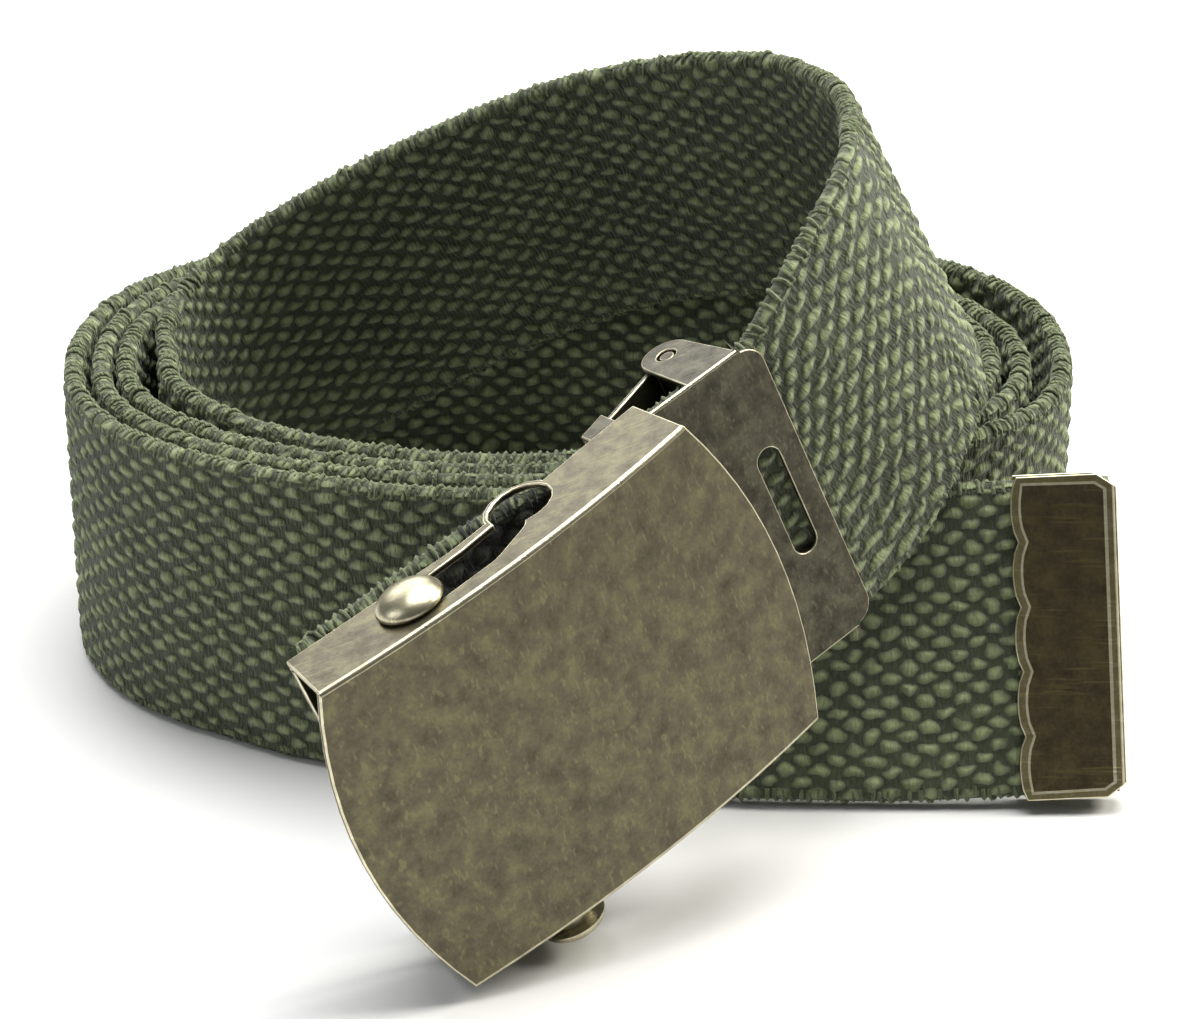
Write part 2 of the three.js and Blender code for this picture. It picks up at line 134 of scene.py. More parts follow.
def ramp(
    tree: bpy.types.NodeTree, factor: bpy.types.Node | bpy.types.NodeSocket, stops: list[tuple[float, str]]
) -> bpy.types.NodeSocket:
    """Maps a factor to colours.

    Args:
        tree: The node tree.
        factor: The node or socket that drives the ramp.
        stops: Positions and hex colours, in order.

    Returns:
        The ramp's colour socket.
    """
    node = add_node(tree, "ShaderNodeValToRGB", {"Fac": factor})
    elements = node.color_ramp.elements
    while len(elements) < len(stops):
        elements.new(0.5)
    for element, (position, colour) in zip(elements, stops):
        element.position = position
        element.color = linear(colour)
    return node.outputs["Color"]


@dataclass(frozen=True)
class Weave:
    """The weave's lattice: an oval knot where a warp yarn passes over a pick, in millimetres."""

    pick: float = 2.05
    row: float = 1.4
    half_length: float = 1.25
    half_width: float = 0.78
    slant: float = 0.04
    power: float = 0.65


WEAVE = Weave()


@dataclass(frozen=True)
class CottonWebbing:
    """Coarse cotton webbing, woven and dyed olive: no gloss, painted highlight on the pale knots and painted shade in
    the near-black pits.
    """

    # From pit to crown the colours follow the knot height: painted shade in the pits, painted highlight on the
    # crowns.
    pit: str = "#1d2114"
    shade: str = "#40472f"
    yarn: str = "#6c7651"
    crown: str = "#939d73"
    # Near-black painted shade for the web where it lies in the shadow inside the buckle.
    painted_shade_colour: str = "#0b0c08"
    # Knots stray up to half a millimetre from the lattice, in waves of 2.4 mm.
    wander_scale: float = 420.0
    wander_reach: float = 1.9 * MM
    # A plied yarn shows its twist every 0.4 mm. The real fibres are too fine to show and are drawn this coarse.
    twist_scale: tuple[float, float, float] = (2600.0, 750.0, 1.0)
    twist_turn: float = 0.7
    # The dye is uneven over 17 mm.
    cloud_scale: float = 60.0
    twist_tone: float = 0.4
    knot_tone: float = 0.12
    cloud_tone: float = 0.35
    twist_relief: float = 0.9
    relief: float = 0.55 * MM

    def knots(
        self, tree: bpy.types.NodeTree, u: bpy.types.NodeSocket, v: bpy.types.NodeSocket, column: bpy.types.Node
    ) -> bpy.types.Node:
        """Adds the height of the oval knots that interlock in staggered columns.

        Args:
            tree: The node tree.
            u: The distance along the web in metres.
            v: The place across the web in metres.
            column: The node that numbers the nearest column.

        Returns:
            The node with the height, from 0 in the pits to 1 on the crowns.
        """
        pick, row = WEAVE.pick * MM, WEAVE.row * MM
        stretch = (1 / (WEAVE.half_length * MM), 1 / (WEAVE.half_width * MM), 1)
        best = None
        for step in (-1.0, 0.0, 1.0):
            own = add_node(tree, "ShaderNodeMath", {0: column, 1: step}, operation="ADD")
            off = add_node(tree, "ShaderNodeMath", {0: own, 1: -pick, 2: u}, operation="MULTIPLY_ADD")
            odd = add_node(tree, "ShaderNodeMath", {0: own, 1: 2.0}, operation="FLOORED_MODULO")
            moved = add_node(tree, "ShaderNodeMath", {0: odd, 1: row, 2: v}, operation="MULTIPLY_ADD")
            slanted = add_node(tree, "ShaderNodeMath", {0: off, 1: WEAVE.slant, 2: moved}, operation="MULTIPLY_ADD")
            near = add_node(tree, "ShaderNodeMath", {0: slanted, 1: row, 2: -row}, operation="WRAP")
            place = add_node(tree, "ShaderNodeCombineXYZ", {"X": off, "Y": near})
            oval = add_node(tree, "ShaderNodeVectorMath", {0: place, 1: stretch}, operation="MULTIPLY")
            square = add_node(tree, "ShaderNodeVectorMath", {0: oval, 1: oval}, operation="DOT_PRODUCT")
            height = add_node(tree, "ShaderNodeMath", {0: 1.0, 1: square.outputs["Value"]}, operation="SUBTRACT")
            if best is None:
                best = height
            else:
                best = add_node(tree, "ShaderNodeMath", {0: best, 1: height}, operation="MAXIMUM")
        above = add_node(tree, "ShaderNodeMath", {0: best, 1: 0.0}, operation="MAXIMUM")
        return add_node(tree, "ShaderNodeMath", {0: above, 1: WEAVE.power}, operation="POWER")

    def woven(
        self, tree: bpy.types.NodeTree, uv: bpy.types.NodeSocket, twist: bpy.types.Node
    ) -> tuple[bpy.types.Node, bpy.types.Node]:
        """Adds the tone and the relief of the woven face.

        Args:
            tree: The node tree.
            uv: The place on the web in metres.
            twist: The node that draws the yarn's twist.

        Returns:
            The nodes with the tone and the relief.
        """
        place = add_node(tree, "ShaderNodeTexCoord").outputs["Object"]
        wander = add_node(tree, "ShaderNodeTexNoise", {"Vector": place, "Scale": self.wander_scale, "Detail": 1.0})
        middle = {0: wander.outputs["Color"], 1: (0.5, 0.5, 0.5)}
        centred = add_node(tree, "ShaderNodeVectorMath", middle, operation="SUBTRACT")
        shift = add_node(tree, "ShaderNodeVectorMath", {0: centred, "Scale": self.wander_reach}, operation="SCALE")
        moved = add_node(tree, "ShaderNodeVectorMath", {0: uv, 1: shift}, operation="ADD")
        split = add_node(tree, "ShaderNodeSeparateXYZ", {"Vector": moved})
        cells = []
        for axis, size in enumerate((WEAVE.pick * MM, WEAVE.row * MM)):
            share = add_node(tree, "ShaderNodeMath", {0: split.outputs[axis], 1: size}, operation="DIVIDE")
            cells.append(add_node(tree, "ShaderNodeMath", {0: share}, operation="ROUND"))
        height = self.knots(tree, split.outputs[0], split.outputs[1], cells[0])
        cell = add_node(tree, "ShaderNodeCombineXYZ", {"X": cells[0], "Y": cells[1]})
        own = add_node(tree, "ShaderNodeTexWhiteNoise", {"Vector": cell}, noise_dimensions="3D")
        cloud = add_node(tree, "ShaderNodeTexNoise", {"Vector": place, "Scale": self.cloud_scale, "Detail": 3.0})
        tone = height
        for source, share in ((twist, self.twist_tone), (own, self.knot_tone), (cloud, self.cloud_tone)):
            tone = add_node(tree, "ShaderNodeMath", {0: source, 1: share, 2: tone}, operation="MULTIPLY_ADD")
        level = add_node(tree, "ShaderNodeMapRange", {"Value": tone, "From Min": 0.2, "From Max": 1.65})
        raised = {0: twist, 1: self.twist_relief, 2: height}
        return level, add_node(tree, "ShaderNodeMath", raised, operation="MULTIPLY_ADD")

    def build(self, name: str, loose: bool = False) -> bpy.types.Material:
        """Builds the webbing's material on the weave's own UV map.

        Args:
            name: The material's name.
            loose: Whether it is for loose yarns, which have no knots.

        Returns:
            The material.
        """
        material, tree = start_material(name)
        uv = add_node(tree, "ShaderNodeUVMap", uv_map="weave").outputs["UV"]
        turned = {"Vector": uv, "Rotation": (0, 0, self.twist_turn), "Scale": self.twist_scale}
        laid = add_node(tree, "ShaderNodeMapping", turned)
        twist = add_node(tree, "ShaderNodeTexNoise", {"Vector": laid, "Scale": 1.0, "Detail": 2.0})
        level, relief = (twist, twist) if loose else self.woven(tree, uv, twist)
        # On the woven face the knot height runs this ramp: painted shade in the pits, painted highlight on the
        # crowns.
        stops = [(0.0, self.pit), (0.25, self.shade), (0.7, self.yarn), (1.0, self.crown)]
        dyed = ramp(tree, level, stops)
        # A point attribute mixes the near-black painted shade in where the web lies inside the buckle.
        painted_shade = add_node(tree, "ShaderNodeAttribute", attribute_name="painted_shade").outputs["Fac"]
        with_painted_shade = {"Factor": painted_shade, "A": dyed, "B": linear(self.painted_shade_colour)}
        colour = add_node(tree, "ShaderNodeMix", with_painted_shade, data_type="RGBA").outputs["Result"]
        bump = add_node(tree, "ShaderNodeBump", {"Strength": 1.0, "Distance": self.relief, "Height": relief})
        matt = {"Base Color": colour, "Roughness": 0.95, "Normal": bump}
        fuzz = {"Sheen Weight": 0.15, "Sheen Roughness": 0.6}
        shader = add_node(tree, "ShaderNodeBsdfPrincipled", matt | fuzz)
        add_node(tree, "ShaderNodeOutputMaterial", {"Surface": shader})
        return material


@dataclass(frozen=True)
class AntiqueBrass:
    """Stamped brass, darkened in a bath and tumbled: mottled and finely scratched, between matt and gloss."""

    dark: str = "#4a453a"
    middle: str = "#5d5849"
    warm: str = "#6e6950"
    roughness: float = 0.43
    # The bath leaves spots of 2.6 mm, and the rolled sheet has a grain of 0.4 mm.
    mottle: float = 2.6 * MM
    grain_scale: float = 2600.0
    # Tumbling scratches are 11 mm long. They are drawn 0.3 mm wide, as finer ones don't show.
    scratch_scale: tuple[float, float, float] = (90.0, 3200.0, 700.0)
    scratch_turns: tuple[tuple[float, float, float], ...] = ((0.3, 0.5, 0.9), (1.1, -0.4, 2.2), (-0.6, 0.8, 0.2))
    scratch_tone: float = 0.18
    grain_tone: float = 0.3
    gloss_spread: float = 0.1

    def scratches(self, tree: bpy.types.NodeTree, place: bpy.types.NodeSocket) -> bpy.types.Node:
        """Adds fine scratches in several directions.

        Args:
            tree: The node tree.
            place: The place on the piece in metres.

        Returns:
            The node that is 1 on a scratch.
        """
        best = None
        for turn in self.scratch_turns:
            turned = {"Vector": place, "Rotation": turn, "Scale": self.scratch_scale}
            laid = add_node(tree, "ShaderNodeMapping", turned)
            hair = add_node(tree, "ShaderNodeTexNoise", {"Vector": laid, "Scale": 1.0, "Detail": 1.0})
            line = add_node(tree, "ShaderNodeMapRange", {"Value": hair, "From Min": 0.66, "From Max": 0.74})
            best = line if best is None else add_node(tree, "ShaderNodeMath", {0: best, 1: line}, operation="MAXIMUM")
        return best

    def build(self, name: str) -> bpy.types.Material:
        """Builds the metal on Object coordinates.

        Args:
            name: The material's name.

        Returns:
            The material.
        """
        material, tree = start_material(name)
        place = add_node(tree, "ShaderNodeTexCoord").outputs["Object"]
        spots = {"Vector": place, "Scale": 1 / self.mottle, "Detail": 8.0, "Roughness": 0.62}
        mottle = add_node(tree, "ShaderNodeTexNoise", spots)
        grain = add_node(tree, "ShaderNodeTexNoise", {"Vector": place, "Scale": self.grain_scale, "Detail": 3.0})
        scratch = self.scratches(tree, place)
        mixed = add_node(tree, "ShaderNodeMath", {0: grain, 1: self.grain_tone, 2: mottle}, operation="MULTIPLY_ADD")
        marked = add_node(tree, "ShaderNodeMath", {0: scratch, 1: self.scratch_tone, 2: mixed}, operation="MULTIPLY_ADD")
        colour = ramp(tree, marked, [(0.35, self.dark), (0.62, self.middle), (0.85, self.warm)])
        ends = {"To Min": self.roughness + self.gloss_spread, "To Max": self.roughness - self.gloss_spread}
        gloss = add_node(tree, "ShaderNodeMapRange", {"Value": marked, "From Min": 0.3, "From Max": 0.95} | ends)
        relief = add_node(tree, "ShaderNodeMath", {0: scratch, 1: -0.5, 2: mixed}, operation="MULTIPLY_ADD")
        bump = add_node(tree, "ShaderNodeBump", {"Strength": 0.12, "Distance": 0.2 * MM, "Height": relief})
        metal = {"Base Color": colour, "Metallic": 1.0, "Roughness": gloss, "Normal": bump}
        shader = add_node(tree, "ShaderNodeBsdfPrincipled", metal)
        add_node(tree, "ShaderNodeOutputMaterial", {"Surface": shader})
        return material


class Finishes:
    """Every finish of the belt, built once."""

    def __init__(self) -> None:
        """Builds the finishes."""
        self.canvas = CottonWebbing().build("olive_cotton_webbing")
        self.selvage = CottonWebbing().build("olive_selvage_yarn", loose=True)
        # The face is the least darkened sheet, a dull olive gold.
        self.brass = AntiqueBrass().build("antique_brass_plate")
        # The clamp stayed longer in the bath and reads as warm grey.
        self.dark_brass = AntiqueBrass("#2f2d27", "#49463c", "#5c594a", 0.46).build("dark_brass_plate")
        # The tip is browner and its middle is seldom rubbed.
        self.tip_brass = AntiqueBrass("#352f24", "#544c3a", "#6d6445", 0.46).build("tip_brass_plate")
        # A paler copy of the brass on the outer bends and on the whole roller with its caps: painted highlight.
        self.bend = AntiqueBrass("#938d74", "#b1ab90", "#cbc5a8", 0.34).build("brass_painted_highlight")
        # A near-black copy of the brass on the inside of the box: painted shade.
        self.inside = AntiqueBrass("#161411", "#26221c", "#37322a", 0.6).build("painted_shade_inside")
        # The tip's margin is rubbed half way back.
        self.margin = AntiqueBrass("#5f583d", "#857d5b", "#a29a74", 0.4).build("rubbed_tip_margin")
        # Cut edges are rubbed bare, and their paler colour also paints the bright highlight line round each sheet.
        self.rubbed_and_highlit_edge = AntiqueBrass("#aca588", "#cdc7aa", "#e6e0c6", 0.42).build("rubbed_brass_edge_painted_highlight")
        self.dark_rubbed_and_highlit_edge = AntiqueBrass("#8d8570", "#a9a28a", "#c4bea4", 0.4).build("rubbed_dark_edge_painted_highlight")


class FreeRow(NamedTuple):
    """One row of the free end: its middle in shares of the coil's halves, degrees of lean, thicknesses of lift."""

    x: float
    y: float
    lean: float
    lift: float


class LayerRow(NamedTuple):
    """Insets of the coil's four layers at one share of a turn, in pitches."""

    at: float
    first: float
    second: float
    third: float
    fourth: float


class RiseRow(NamedTuple):
    """One row of the rising stretch: its middle in shares of the coil's halves and the width, degrees of lean."""

    x: float
    y: float
    z: float
    left: float
    front: float


class FixedRow(NamedTuple):
    """One row of the fixed end inside the buckle, in millimetres along it and behind its face."""

    along: float
    depth: float


FREE_END = (
    FreeRow(1.015, -1.005, 22, 0.44), FreeRow(0.84, -1.010, 22, 0.26), FreeRow(0.62, -1.005, 23.5, 0),
    FreeRow(0.40, -0.980, 26, 0), FreeRow(0.19, -1.000, 19, 0), FreeRow(-0.03, -1.030, 10, 0),
    FreeRow(-0.25, -0.998, 3.5, 0), FreeRow(-0.50, -0.895, 2, 0),
)
COIL_LAYERS = (
    LayerRow(0.00, 0.50, 1.80, 2.80, 3.80), LayerRow(0.06, 0.50, 1.50, 2.48, 3.50),
    LayerRow(0.12, 0.50, 1.55, 2.60, 3.85), LayerRow(0.19, 0.50, 1.65, 2.80, 4.60),
    LayerRow(0.25, 0.50, 1.70, 2.75, 4.50), LayerRow(0.50, 0.50, 1.55, 2.60, 4.50),
    LayerRow(0.70, 0.50, 3.10, 4.20, 4.50), LayerRow(0.75, 0.55, 2.40, 3.70, 4.50),
    LayerRow(0.80, 0.85, 2.50, 3.80, 4.50), LayerRow(0.85, 1.90, 3.15, 4.35, 4.50),
    LayerRow(0.90, 3.40, 4.60, 5.75, 4.50), LayerRow(0.95, 3.15, 4.30, 5.40, 4.50),
)
RISE = (
    RiseRow(-0.78, 0.23, 0.53, 6, 9), RiseRow(-0.69, 0.455, 0.625, 16, 14),
    RiseRow(-0.55, 0.58, 0.76, 23.5, 14.5), RiseRow(-0.22, 0.65, 1.06, 26, 15),
    RiseRow(0.125, 0.58, 1.31, 22.5, 12), RiseRow(0.44, 0.31, 1.465, 19.5, 7.5),
    RiseRow(0.565, 0.095, 1.50, 21, 5.5), RiseRow(0.64, -0.165, 1.54, 26, 3.5),
    RiseRow(0.65, -0.445, 1.54, 27, 5), RiseRow(0.625, -0.73, 1.545, 28.5, 9),
    RiseRow(0.55, -0.955, 1.38, 32, 13),
)
FIXED_END = (
    FixedRow(43.5, 13.2), FixedRow(32, 13.0), FixedRow(17, 13.2),
    FixedRow(5, 16.2), FixedRow(-7, 16.8), FixedRow(-20.5, 17.2),
)


@dataclass
class BuckleFrame:
    """Where the buckle leans, in millimetres from the middle of the coil's plan."""

    origin: Vector = field(default_factory=lambda: Vector((3, -82.6, 30.2)))
    along: Vector = field(default_factory=lambda: Vector((0.7592, 0.5422, 0.3601)).normalized())
    across: Vector = field(default_factory=lambda: Vector((-0.3792, -0.0812, 0.9217)))

    def __post_init__(self) -> None:
        """Squares the frame's axes."""
        self.across = (self.across - self.along * self.across.dot(self.along)).normalized()
        self.out = self.along.cross(self.across)

    def point(self, along: float, across: float, depth: float) -> Vector:
        """Gives a point of the buckle, where depth lies behind its face."""
        return self.origin + self.along * along + self.across * across - self.out * depth

    def matrix(self, shift: Vector) -> Matrix:
        """Gives the frame as a matrix in metres.

        Args:
            shift: The part's offset in the row frame, in metres.

        Returns:
            The matrix from buckle millimetres to the row frame.
        """
        turn = Matrix((self.along, self.across, self.out)).transposed().to_4x4()
        return Matrix.Translation(shift + self.origin * MM) @ turn @ Matrix.Scale(MM, 4)


@dataclass
class WebPath:
    """The web's way from its metal tip to its cut tail, in millimetres."""

    buckle: BuckleFrame
    width: float = 38
    thickness: float = 2.6
    pitch: float = 2.9
    half_length: float = 64.4
    half_depth: float = 43.1
    roundness: float = 2.35
    coil_start: float = 0.14
    coil_end: float = 3.25
    per_turn: int = 40
    # The curve is measured at this many places between stations.
    samples: int = 20
    # The CAD's strap has a frame every 4.5 mm and chamfers of 0.7 mm.
    cad_spacing: float = 4.5
    cad_chamfer: float = 0.7

    def inset(self, turn: float) -> float:
        """Reads the inset of the web's middle at a turn smoothly from the layer table.

        Args:
            turn: Turns counted from the front through the left.

        Returns:
            The inset in millimetres.
        """
        knots = [(layer + row.at, row[1 + min(layer, 3)] * self.pitch) for layer in range(5) for row in COIL_LAYERS]
        k = max(i for i, knot in enumerate(knots) if knot[0] <= turn)
        a, b, c, d = (knots[max(k - 1, 0)], knots[k], knots[k + 1], knots[k + 2])
        first = (c[1] - a[1]) / (c[0] - a[0])
        second = (d[1] - b[1]) / (d[0] - b[0])
        span = c[0] - b[0]
        t = (turn - b[0]) / span
        return (
            (2 * t**3 - 3 * t**2 + 1) * b[1]
            + (t**3 - 2 * t**2 + t) * span * first
            + (3 * t**2 - 2 * t**3) * c[1]
            + (t**3 - t**2) * span * second
        )

    def coil_point(self, turn: float) -> tuple[float, float, float]:
        """Gives the web's middle in the coil, on a rounded oval, at a turn.

        Args:
            turn: Turns counted from the front through the left.

        Returns:
            The place in millimetres.
        """
        angle = math.pi * (1.5 - 2 * turn)
        inset = self.inset(turn)
        c = abs(math.cos(angle) / (self.half_length - inset)) ** self.roundness
        s = abs(math.sin(angle) / (self.half_depth - inset)) ** self.roundness
        radius = (c + s) ** (-1 / self.roundness)
        return (radius * math.cos(angle), radius * math.sin(angle), self.width / 2)

    def stations(self) -> tuple[np.ndarray, np.ndarray]:
        """Gives every station's middle and upward edge direction.

        Returns:
            Two arrays of one row per station.
        """
        middles: list[tuple[float, ...]] = []
        edges: list[tuple[float, ...]] = []
        for row in FREE_END:
            lean = math.radians(row.lean)
            z = self.width / 2 * math.cos(lean) + self.thickness / 2 * math.sin(lean) + row.lift * self.thickness
            middles.append((row.x * self.half_length, row.y * self.half_depth, z))
            edges.append((0, math.sin(lean), math.cos(lean)))
        steps = round((self.coil_end - self.coil_start) * self.per_turn)
        for i in range(steps + 1):
            middles.append(self.coil_point(self.coil_start + (self.coil_end - self.coil_start) * i / steps))
            edges.append((0, 0, 1))
        for row in RISE:
            middles.append((row.x * self.half_length, row.y * self.half_depth, row.z * self.width))
            slopes = (-math.tan(math.radians(row.left)), -math.tan(math.radians(row.front)), 1)
            edges.append(tuple(Vector(slopes).normalized()))
        for row in FIXED_END:
            middles.append(tuple(self.buckle.point(row.along, 0, row.depth)))
            edges.append(tuple(self.buckle.across))
        return np.array(middles, float), np.array(edges, float)

    @staticmethod
    def through(points: np.ndarray, t: np.ndarray, power: float) -> np.ndarray:
        """Evaluates a Catmull-Rom curve through points.

        Args:
            points: The points, one per row.
            t: Places from 0 to the number of points less one.
            power: Power of the squared gaps between points: 0.25 is centripetal, 0 is uniform.

        Returns:
            One point per place.
        """
        padded = np.vstack([2 * points[0] - points[1], points, 2 * points[-1] - points[-2]])
        i = np.minimum(t.astype(int), len(points) - 2)
        w = (t - i)[:, None]
        p0, p1, p2, p3 = (padded[i + k] for k in range(4))
        gaps = [((b - a) ** 2).sum(1)[:, None] ** power for a, b in ((p0, p1), (p1, p2), (p2, p3))]
        d0, d1, d2 = gaps
        start = ((p1 - p0) / d0 - (p2 - p0) / (d0 + d1) + (p2 - p1) / d1) * d1
        end = ((p2 - p1) / d1 - (p3 - p1) / (d1 + d2) + (p3 - p2) / d2) * d1
        return p1 + start * w + (3 * (p2 - p1) - 2 * start - end) * w**2 + (2 * (p1 - p2) + start + end) * w**3

    def frames(self, spacing: float) -> tuple[np.ndarray, np.ndarray, np.ndarray, np.ndarray]:
        """Gives even frames along the web.

        Args:
            spacing: The distance between frames in millimetres.

        Returns:
            Arrays of the middles, edge directions, outward normals and distances along the web.
        """
        middles, edges = self.stations()
        t = np.linspace(0, len(middles) - 1, len(middles) * self.samples)
        dense = self.through(middles, t, 0.25)
        run = np.concatenate([[0], np.cumsum(np.linalg.norm(np.diff(dense, axis=0), axis=1))])
        count = round(run[-1] / spacing)
        along = np.linspace(0, run[-1], count + 1)
        places = np.interp(along, run, t)
        middle = self.through(middles, places, 0.25)
        edge = self.through(edges, places, 0.0)
        travel = np.gradient(middle, axis=0)
        travel /= np.linalg.norm(travel, axis=1)[:, None]
        edge -= travel * (edge * travel).sum(1)[:, None]
        edge /= np.linalg.norm(edge, axis=1)[:, None]
        return middle, edge, np.cross(edge, travel), along


def mesh_from_arrays(name: str, points: np.ndarray, quads: np.ndarray) -> bpy.types.Mesh:
    """Makes a mesh of quads quickly.

    Args:
        name: The mesh's name.
        points: One vertex per row, in metres.
        quads: Four vertex numbers per row.

    Returns:
        The mesh.
    """
    mesh = bpy.data.meshes.new(name)
    mesh.vertices.add(len(points))
    mesh.vertices.foreach_set("co", points.astype(np.float32).ravel())
    mesh.loops.add(quads.size)
    mesh.loops.foreach_set("vertex_index", quads.astype(np.int32).ravel())
    mesh.polygons.add(len(quads))
    mesh.polygons.foreach_set("loop_start", np.arange(0, quads.size, 4, dtype=np.int32))
    mesh.polygons.foreach_set("use_smooth", np.ones(len(quads), bool))
    mesh.update(calc_edges=True)
    return mesh


def link(name: str, mesh: bpy.types.Mesh) -> bpy.types.Object:
    """Puts a mesh in the scene as an object at the origin.

    Args:
        name: The object's name.
        mesh: Its mesh.

    Returns:
        The object.
    """
    obj = bpy.data.objects.new(name, mesh)
    bpy.context.scene.collection.objects.link(obj)
    return obj


def seat(obj: bpy.types.Object, body: Body, slot: Slot, *nodes: str) -> None:
    """Gives a finished piece its body and hides the nodes that it replaces.

    Args:
        obj: The piece.
        body: The body that it rides on.
        slot: The record's material slot; not used.
        *nodes: The CAD nodes that it replaces.
    """
    if nodes:
        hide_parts(*nodes)
    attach(obj, body.value)
    log.info("%s: %d faces on %s", obj.name, len(obj.data.polygons), body.value)


@dataclass
class Webbing:
    """The woven strap, its selvage loops and its frayed cut end."""

    path: WebPath
    finishes: Finishes
    pick: float = WEAVE.pick
    row: float = WEAVE.row
    per_pick: int = 4
    rows: int = 25
    per_row: int = 3
    edge_steps: int = 4
    relief: float = 0.42
    stray: float = 0.6
    # The edges show less relief than the faces.
    edge_relief: float = 0.4
    # How dark the painted shade is that stands in for the shadow inside the buckle, and where its edge loops end.
    painted_shade: float = 0.9
    bare_tail: float = 22.0
    parts: int = 5
    inside_buckle: float = 40.0
    loop_spacing: float = 1.025
    yarn_radius: float = 0.28
    seed: int = 7

    def section(self) -> tuple[np.ndarray, np.ndarray, np.ndarray]:
        """Gives the strap's section: a flat loop with round edges.

        Returns:
            Arrays of the places across, the places outward and the share of relief at each point.
        """
        half = self.path.width / 2
        deep = self.path.thickness / 2
        reach = self.rows * self.row / 2
        flat = np.linspace(reach, -reach, self.rows * self.per_row + 1)
        bend = np.linspace(0, math.pi, self.edge_steps + 2)[1:-1]
        round_edge = (half - reach) * np.sin(bend)
        across = np.concatenate([flat, -reach - round_edge, -flat, reach + round_edge])
        face = np.full(len(flat), deep)
        outward = np.concatenate([face, deep * np.cos(bend), -face, -deep * np.cos(bend)])
        share = np.tile(np.concatenate([np.ones(len(flat)), np.full(len(bend), self.edge_relief)]), 2)
        return across, outward, share

    def weave(self, along: np.ndarray, across: np.ndarray, side: np.ndarray) -> np.ndarray:
        """Gives the height of the weave: one oval knot where a warp yarn passes over a pick.

        Args:
            along: Distances along the strap, one per frame.
            across: Places across it, one per section point.
            side: One for the outer face and minus one for the inner.

        Returns:
            Heights from 0 to 1, one row per frame.
        """
        chance = np.random.default_rng(self.seed).random((4096, 64))
        place = across + np.where(side < 0, self.row, 0)
        best = np.zeros((len(along), len(across)))
        for step in (-1, 0, 1):
            column = np.round(along / self.pick) + step
            off = along - column * self.pick
            moved = place[None, :] + (column % 2 * self.row + off * WEAVE.slant)[:, None]
            number = np.round(moved / (2 * self.row))
            near = moved - number * 2 * self.row
            vary = chance[(column.astype(int) % 4096)[:, None], number.astype(int) % 64]
            stray = chance[(column.astype(int) % 4096)[:, None], (number.astype(int) + 31) % 64] - 0.5
            long_way = (off[:, None] + stray * self.stray) / WEAVE.half_length
            knot = 1 - long_way**2 - ((near + stray * self.stray * 0.6) / WEAVE.half_width) ** 2
            best = np.maximum(best, np.maximum(knot, 0) ** WEAVE.power * (0.8 + 0.35 * vary))
        return best

    def strap(self, shift: Vector) -> None:
        """Builds the strap in several runs, each one closed tube of woven relief.

        Args:
            shift: The part's offset in the row frame, in metres.
        """
        middle, edge, out, along = self.path.frames(self.pick / self.per_pick)
        across, outward, share = self.section()
        face = self.rows * self.per_row + 1 + self.edge_steps // 2
        side = np.where(np.arange(len(across)) < face, 1.0, -1.0)
        height = self.weave(along, across, side) - 0.55
        depth = outward[None, :] + np.sign(outward)[None, :] * height * self.relief * share[None, :]
        points = middle[:, None] + edge[:, None] * across[None, :, None] + out[:, None] * depth[..., None]
        points = points * MM + np.array(shift)[None, None]
        points[..., 2] = np.maximum(points[..., 2], 0)
        ring = len(across)
        run = along[-1]
        cuts = np.linspace(0, len(along) - 1, self.parts + 1).astype(int)
        for part, (first, last) in enumerate(zip(cuts[:-1], cuts[1:])):
            rows = last - first + 1
            cloud = points[first : last + 1].reshape(-1, 3)
            a = (np.arange(rows - 1)[:, None] * ring + np.arange(ring)[None, :]).ravel()
            b = (np.arange(rows - 1)[:, None] * ring + (np.arange(ring)[None, :] + 1) % ring).ravel()
            quads = np.stack([a, a + ring, b + ring, b], 1)
            mesh = mesh_from_arrays(f"web_run_{part + 1}", cloud, quads)
            u = np.repeat(along[first : last + 1], ring) * MM
            v = np.tile(across, rows) * MM + np.tile(np.where(side < 0, self.row * MM, 0), rows)
            layer = mesh.uv_layers.new(name="weave")
            layer.data.foreach_set("uv", np.stack([u, v], 1)[quads.ravel()].astype(np.float32).ravel())
            mesh.materials.append(self.finishes.canvas)
            # Painted shade: the outer face of the web inside the buckle is darkened to stand in for its shadow.
            hidden = (run - self.inside_buckle < along[first : last + 1])[:, None] & (side > 0)[None, :]
            painted_shade = mesh.attributes.new("painted_shade", "FLOAT", "POINT")
            painted_shade.data.foreach_set("value", hidden.astype(np.float32).ravel() * self.painted_shade)
            if first == 0 or last == len(along) - 1:
                self.close_end(mesh, 0 if first == 0 else rows - 1, ring, first == 0)
            seat(link(f"web_run_{part + 1}", mesh), Body.BELT, Slot.CANVAS, "webbing")

    def close_end(self, mesh: bpy.types.Mesh, row: int, ring: int, start: bool) -> None:
        """Closes one end of the strap with one flat face.

        Args:
            mesh: The run's mesh.
            row: The ring to close.
            ring: The number of points in a ring.
            start: Whether the ring is the strap's first.
        """
        work = bmesh.new()
        work.from_mesh(mesh)
        work.verts.ensure_lookup_table()
        loop = [work.verts[row * ring + k] for k in range(ring)]
        face = work.faces.new(loop if start else loop[::-1])
        face.smooth = False
        work.to_mesh(mesh)
        work.free()

